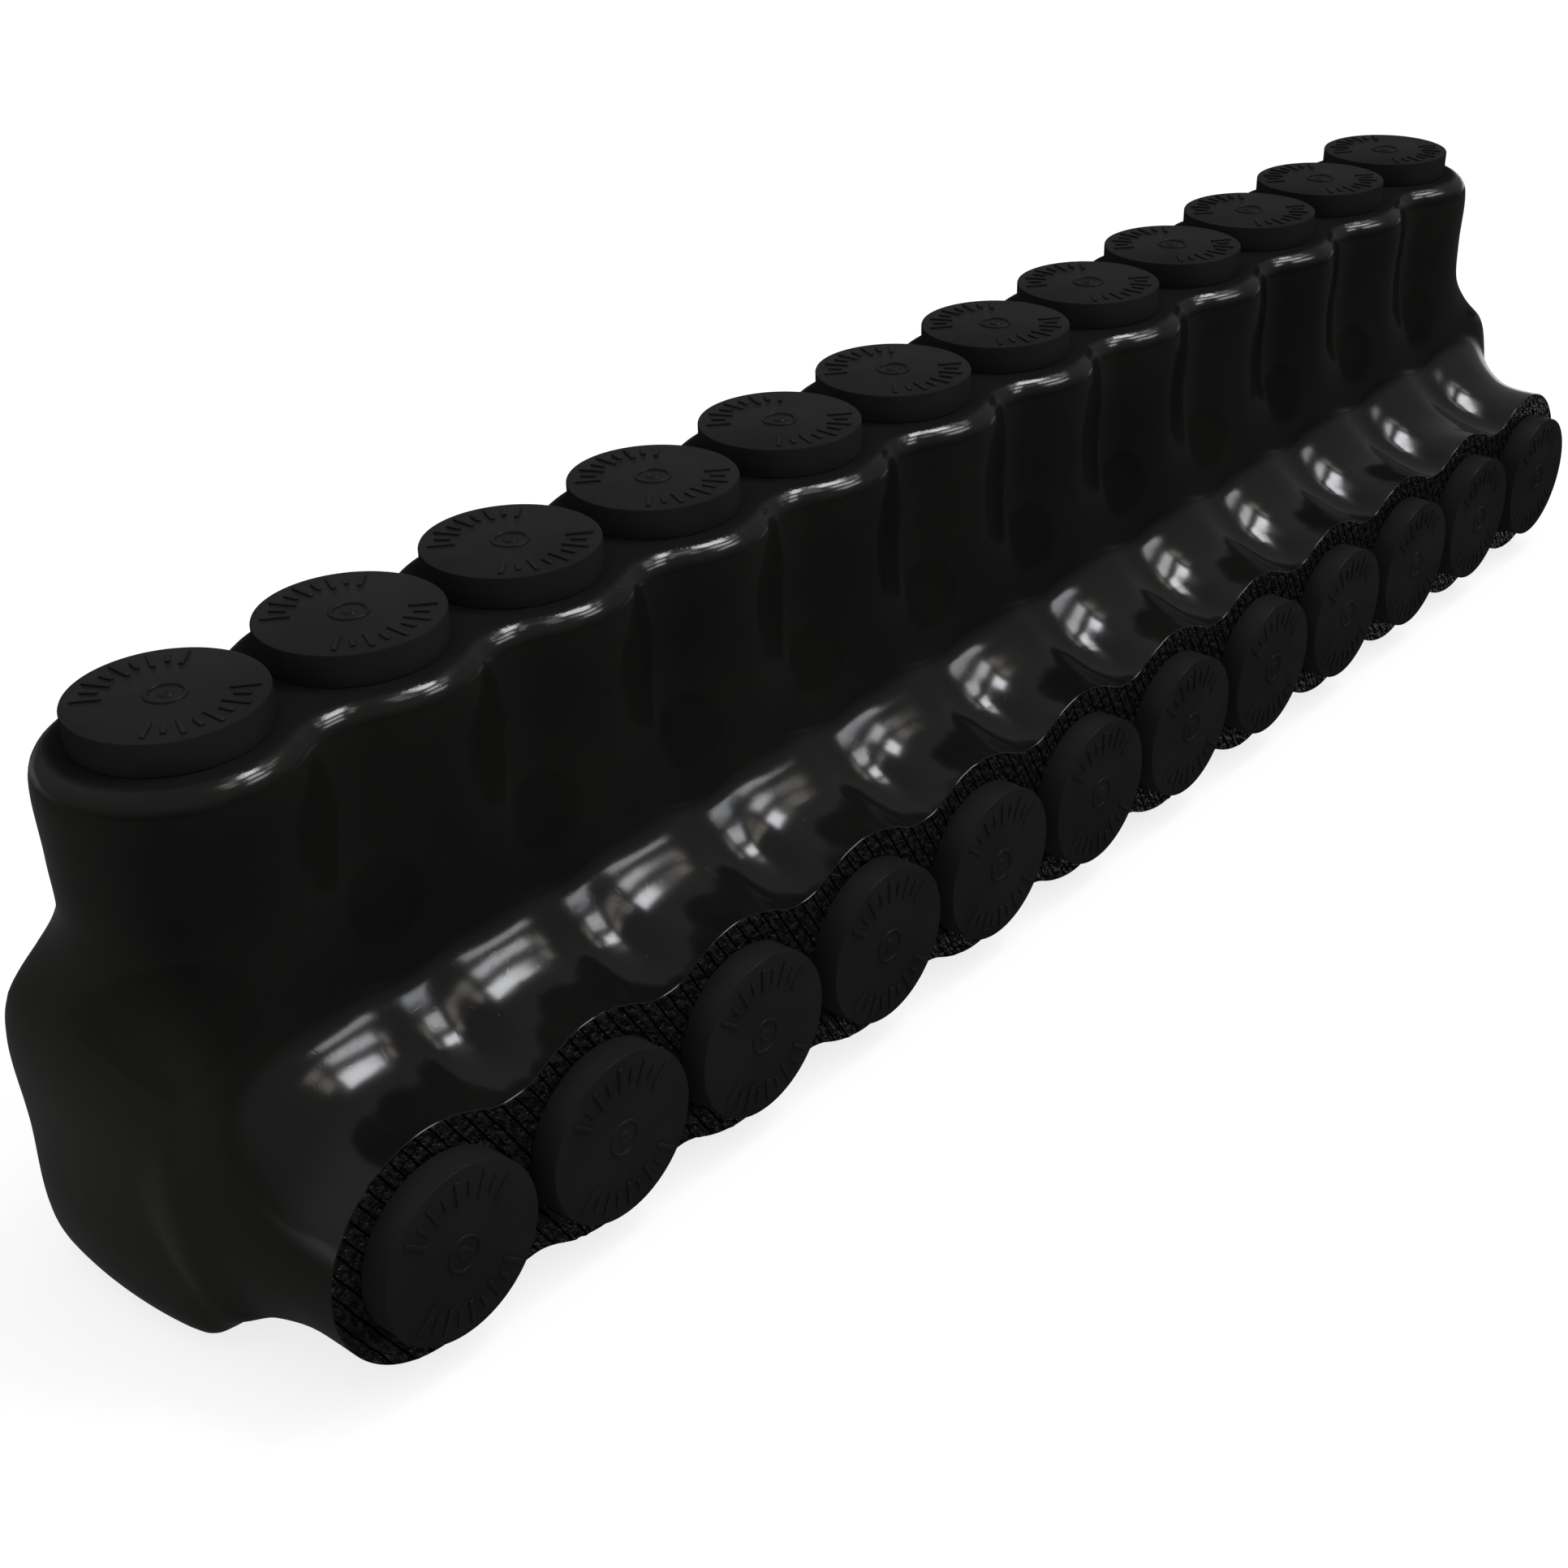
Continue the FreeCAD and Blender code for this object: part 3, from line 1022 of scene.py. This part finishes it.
@dataclass
class PushCap:
    """A push-in cap: flange with plain raised ticks, hollow skirt with a lead-in."""

    flange_radius: float = 6.35 * MM
    flange_height: float = 2.45 * MM
    edge: float = 0.12 * MM
    skirt_radius: float = 5.1 * MM
    skirt_wall: float = 1.2 * MM
    skirt_length: float = 5.0 * MM
    lead_in: float = 0.45 * MM
    roof: float = 0.25 * MM
    neck: float = 0.15 * MM
    neck_span: Span = (0.35 * MM, 0.2 * MM)
    mark_rise: float = 0.15 * MM
    mark_sunk: float = 0.1 * MM
    mark_bevel: float = 0.05 * MM
    mark_width: float = 0.34 * MM
    mark_circle: float = 4.75 * MM
    mark_lengths: Span = (1.9 * MM, 1.1 * MM)
    marks_each: int = 9
    mark_step: float = 12.5
    ring_radius: float = 1.25 * MM
    gate_radius: float = 0.3 * MM
    segments: int = 96
    smooth_angle: float = 35.0

    def face(self) -> float:
        """Height of the plain face, which the marks stand on."""
        return self.flange_height - self.mark_rise

    def body(self) -> Piece:
        """The plain cap, seat at the origin, turned from its profile.

        Returns:
            The round body.
        """
        hollow = self.skirt_radius - self.skirt_wall
        profile = [
            (POLE, self.roof),
            (hollow, self.roof),
            (hollow, -self.skirt_length + self.lead_in / 2),
            (hollow + self.lead_in / 2, -self.skirt_length),
            (self.skirt_radius - self.lead_in, -self.skirt_length),
            (self.skirt_radius, -self.skirt_length + 2 * self.lead_in),
            (self.skirt_radius, -self.neck_span[0]),
            (self.skirt_radius - self.neck, -self.neck_span[1]),
            (self.skirt_radius - self.neck, 0.0),
            (self.flange_radius - self.edge / 2, 0.0),
            (self.flange_radius, self.edge / 2),
            (self.flange_radius, self.face() - self.edge),
            (self.flange_radius - self.edge * 0.3, self.face() - self.edge * 0.3),
            (self.flange_radius - self.edge, self.face()),
            (POLE, self.face()),
        ]
        return Bench.turned("cap_master", profile, self.segments)

    def marks(self) -> Piece:
        """Two arcs of raised ticks and a ring round the moulding gate.

        Returns:
            The raised marks as one piece.
        """
        height = self.mark_rise + self.mark_sunk
        middle = self.face() + self.mark_rise - height / 2
        parts = []
        for centre in (90.0, 270.0):
            for tick in range(self.marks_each):
                turn = math.radians(centre + (tick - (self.marks_each - 1) / 2) * self.mark_step)
                length = self.mark_lengths[tick % 2]
                Bench.clear()
                bpy.ops.mesh.primitive_cube_add(
                    size=1,
                    location=(
                        self.mark_circle * math.cos(turn),
                        self.mark_circle * math.sin(turn),
                        middle,
                    ),
                    rotation=(0, 0, turn),
                )
                bar = bpy.context.object
                bar.scale = (length, self.mark_width, height)
                parts.append(Bench.settle(bar))
        rings = ((self.ring_radius, self.mark_width / 2), (self.gate_radius, self.mark_width))
        for radius, thick in rings:
            Bench.clear()
            bpy.ops.mesh.primitive_torus_add(
                major_radius=radius,
                minor_radius=thick,
                major_segments=36,
                minor_segments=8,
                location=(0, 0, self.face() + self.mark_rise - thick),
            )
            parts.append(Bench.settle(bpy.context.object))
        return Bench.joined(parts, "cap_marks")

    def master(self) -> Piece:
        """One finished cap.

        Returns:
            The cap to copy from.
        """
        cap = self.body()
        marks = self.marks()
        Bench.apply(marks, "BEVEL", width=self.mark_bevel, segments=1, limit_method="ANGLE")
        cap = Bench.joined([cap, marks], "cap_master")
        Bench.smooth(cap, self.smooth_angle)
        cap.data.materials.append(CapPlastic().material())
        return cap

    def seat(self, master: Piece, node: str, facing: Facing) -> Piece:
        """A copy of the cap on its own seat, standing for its CAD node.

        Args:
            master: The finished cap.
            node: The CAD node that it stands for, also its body.
            facing: Which way the seated cap points.

        Returns:
            The seated copy.
        """
        low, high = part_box(node)
        middle = (low + high) / 2
        if facing is Facing.UP:
            spot = Vector((middle.x, middle.y, high.z - self.flange_height))
        else:
            spot = Vector((middle.x, low.y + self.flange_height, middle.z))
        turn = Matrix.Rotation(math.radians(facing.value), 4, "X")
        return seated(master, node, Matrix.Translation(spot) @ turn)


@dataclass
class SetScrew:
    """A socket set screw with its thread, coned point and hex socket."""

    radius: float = 3.15 * MM
    thread_pitch: float = 0.907 * MM
    thread_depth: float = 0.42 * MM
    land_share: float = 0.1
    length: float = 9.5 * MM
    chamfer: float = 0.5 * MM
    trim: float = 0.1 * MM
    point_radius: float = 2.0 * MM
    point_height: float = 1.15 * MM
    hex_across: float = 3.2 * MM
    hex_depth: float = 4.0 * MM
    spare: float = 0.3 * MM
    steps: int = 32
    smooth_angle: float = 25.0

    def thread(self) -> Piece:
        """The threaded rod, cut square at both ends.

        Returns:
            The closed rod, tip at the origin.
        """
        root = self.radius - self.thread_depth
        middle = self.thread_pitch / 2
        land = self.land_share * self.thread_pitch
        line = [(root, 0.0), (self.radius, middle - land), (self.radius, middle + land)]
        line.append((root, self.thread_pitch))
        below = 2 * self.thread_pitch
        rod = Bench.drawn("screw_master", [(reach, 0.0, rise - below) for reach, rise in line])
        Bench.apply(
            rod,
            "SCREW",
            axis="Z",
            screw_offset=self.thread_pitch,
            iterations=math.ceil(self.length / self.thread_pitch) + 4,
            steps=self.steps,
            use_merge_vertices=True,
            merge_threshold=0.001 * MM,
        )
        with Bench.editing(rod):
            bpy.ops.mesh.select_all(action="SELECT")
            bpy.ops.mesh.remove_doubles(threshold=0.01 * MM)
            for height, away in ((-self.spare, -1.0), (self.length + self.spare, 1.0)):
                bpy.ops.mesh.select_all(action="SELECT")
                bpy.ops.mesh.bisect(
                    plane_co=(0, 0, height),
                    plane_no=(0, 0, away),
                    use_fill=True,
                    clear_outer=True,
                    threshold=0.0001 * MM,
                )
            bpy.ops.mesh.select_all(action="SELECT")
            bpy.ops.mesh.normals_make_consistent(inside=False)
        return rod

    def envelope(self) -> Piece:
        """The coned point and chamfered head that the thread is trimmed to.

        Returns:
            The closed round tool.
        """
        wide = self.radius + self.trim
        profile = [
            (POLE, 0.0),
            (self.point_radius, 0.0),
            (wide, self.point_height),
            (wide, self.length - self.chamfer),
            (wide - self.chamfer, self.length),
            (POLE, self.length),
        ]
        return Bench.turned("screw_envelope", profile, 2 * self.steps)

    def master(self) -> Piece:
        """One finished screw.

        Returns:
            The screw to copy from.
        """
        screw = self.thread()
        Bench.combine(screw, self.envelope(), "INTERSECT")
        Bench.clear()
        bpy.ops.mesh.primitive_cylinder_add(
            vertices=6,
            radius=self.hex_across / 2 / math.cos(math.pi / 6),
            depth=2 * self.hex_depth,
            location=(0, 0, self.length),
        )
        Bench.combine(screw, Bench.settle(bpy.context.object), "DIFFERENCE")
        Bench.smooth(screw, self.smooth_angle)
        finish = DrawnMetal(
            name="screw_plated_steel",
            dark=(0.42, 0.43, 0.45),
            light=(0.60, 0.60, 0.61),
            rough=0.26,
            line_stretch=1.0,
        )
        screw.data.materials.append(finish.material())
        return screw

    def seat(self, master: Piece, node: str) -> Piece:
        """A copy of the screw in its own hole, standing for its CAD node.

        Args:
            master: The finished screw.
            node: The CAD node that it stands for, also its body.

        Returns:
            The seated copy.
        """
        low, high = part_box(node)
        middle = (low + high) / 2
        return seated(master, node, Matrix.Translation((middle.x, middle.y, low.z)))


@dataclass(frozen=True)
class Pane:
    """A lamp of the ceiling, its edges given for a ceiling one unit above the object."""

    name: str
    across: Span
    along: Span
    radiance: float
    tint: Colour = (1.0, 1.0, 1.0)
    mirrored: bool = True


@dataclass
class Studio:
    """Pale floor, soft lamps and the camera at the photograph's angle."""

    camera_place: Place = (-142.87 * MM, -105.33 * MM, 101.85 * MM)
    camera_azimuth: float = -48.89
    camera_elevation: float = 30.11
    camera_roll: float = -1.69
    focal_pixels: float = 2704.6
    sensor: float = 36.0
    floor_size: float = 16.0
    ceiling: float = 5.0
    front_level: float = 0.14
    back_level: float = 0.30
    level_span: Span = (-0.2, 0.9)
    panes: tuple[Pane, ...] = (
        Pane("first_row", (0.36, 0.65), (-0.32, -0.10), 14.0, (0.95, 0.97, 1.0)),
        Pane("second_row", (0.44, 0.81), (-0.64, -0.47), 8.5, (0.95, 0.97, 1.0)),
        Pane("third_row", (0.54, 1.15), (-1.12, -0.84), 5.0, (0.93, 0.96, 1.0)),
        Pane("left_blind_near", (0.14, 0.27), (-0.44, -0.27), 2.3, (1.0, 0.93, 0.80)),
        Pane("left_blind_far", (0.14, 0.29), (-0.66, -0.48), 2.3, (1.0, 0.93, 0.80)),
        Pane("right_blind_near", (0.80, 0.93), (-0.31, -0.12), 2.3, (1.0, 0.93, 0.80)),
        Pane("right_blind_far", (0.88, 1.02), (-0.56, -0.35), 2.3, (1.0, 0.93, 0.80)),
        Pane("fill", (-1.1, 0.9), (-1.7, 0.4), 0.88, mirrored=False),
    )

    def build(self) -> None:
        """Sets the floor, the lamps, the world and the camera."""
        self.lay_floor()
        for pane in self.panes:
            self.hang(pane)
        self.set_world()
        self.aim_camera()

    def lay_floor(self) -> None:
        """Lays the floor under the object."""
        Bench.clear()
        bpy.ops.mesh.primitive_plane_add(size=self.floor_size, location=(0, 0, 0))
        floor = bpy.context.object
        floor.name = "floor"
        floor.data.materials.append(PaleFloor().material())

    def hang(self, pane: Pane) -> None:
        """Hangs one pane as a lamp that faces the floor.

        Args:
            pane: The pane to hang.
        """
        light = bpy.data.lights.new(pane.name, "AREA")
        light.shape = "RECTANGLE"
        light.size = (pane.across[1] - pane.across[0]) * self.ceiling
        light.size_y = (pane.along[1] - pane.along[0]) * self.ceiling
        light.energy = pane.radiance * math.pi * light.size * light.size_y
        light.color = pane.tint
        holder = bpy.data.objects.new(pane.name, light)
        bpy.context.scene.collection.objects.link(holder)
        holder.location = Vector((sum(pane.across) / 2, sum(pane.along) / 2, 1.0)) * self.ceiling
        holder.visible_camera = False
        holder.visible_glossy = pane.mirrored

    def set_world(self) -> None:
        """A dim surround, a little lighter behind the object."""
        world = bpy.data.worlds.new("studio")
        world.use_nodes = True
        nodes = NodeSheet(world.node_tree)
        way = nodes.node("TexCoord").outputs["Generated"]
        depth = nodes.node("SeparateXYZ", {0: way}).outputs["Y"]
        level = nodes.ramp(depth, *self.level_span, self.front_level, self.back_level)
        glow = nodes.node("Background", {"Color": (1.0, 1.0, 1.0, 1.0), "Strength": level})
        nodes.node("OutputWorld", {"Surface": glow.outputs[0]})
        bpy.context.scene.world = world

    def aim_camera(self) -> None:
        """Sets the camera where the photograph was taken from."""
        turn, rise = math.radians(self.camera_azimuth), math.radians(self.camera_elevation)
        back = Vector(
            (math.sin(turn) * math.cos(rise), -math.cos(turn) * math.cos(rise), math.sin(rise))
        )
        right = back.cross(Vector((0, 0, -1))).normalized()
        up = back.cross(right)
        roll = math.radians(self.camera_roll)
        tilted_right = math.cos(roll) * right + math.sin(roll) * up
        tilted_up = math.cos(roll) * up - math.sin(roll) * right
        camera = bpy.data.objects.new("camera", bpy.data.cameras.new("camera"))
        bpy.context.scene.collection.objects.link(camera)
        frame_turn = Matrix((tilted_right, tilted_up, back)).transposed().to_4x4()
        camera.matrix_world = Matrix.Translation(self.camera_place) @ frame_turn
        camera.data.sensor_width = self.sensor
        camera.data.lens = self.focal_pixels / IMAGE_SIDE * self.sensor
        camera.data.clip_start = 1.0 * MM
        bpy.context.scene.camera = camera


def report(piece: Piece) -> None:
    """Reports a piece and its number of triangles."""
    count = sum(len(face.vertices) - 2 for face in piece.data.polygons)
    log.info("%s: %d triangles", piece.name, count)


def main() -> None:
    """Builds the connector's looks in order and reports each piece."""
    logging.basicConfig(level=logging.INFO, format="%(name)s: %(message)s")
    bpy.context.scene.view_settings.view_transform = "Standard"
    row = Row()
    report(Housing(row).build())
    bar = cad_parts["connector_bar"]
    bar.data.materials.clear()
    bar.data.materials.append(DrawnMetal().material())
    report(bar)
    cap = PushCap()
    cap_master = cap.master()
    screw = SetScrew()
    screw_master = screw.master()
    for tap in range(1, row.count + 1):
        report(cap.seat(cap_master, f"screw_cap_{tap:02d}", Facing.UP))
        report(cap.seat(cap_master, f"port_cap_{tap:02d}", Facing.FRONT))
        report(screw.seat(screw_master, f"set_screw_{tap:02d}"))
    for master in (cap_master, screw_master):
        bpy.data.objects.remove(master)
    Studio().build()


if __name__ == "__main__":
    main()
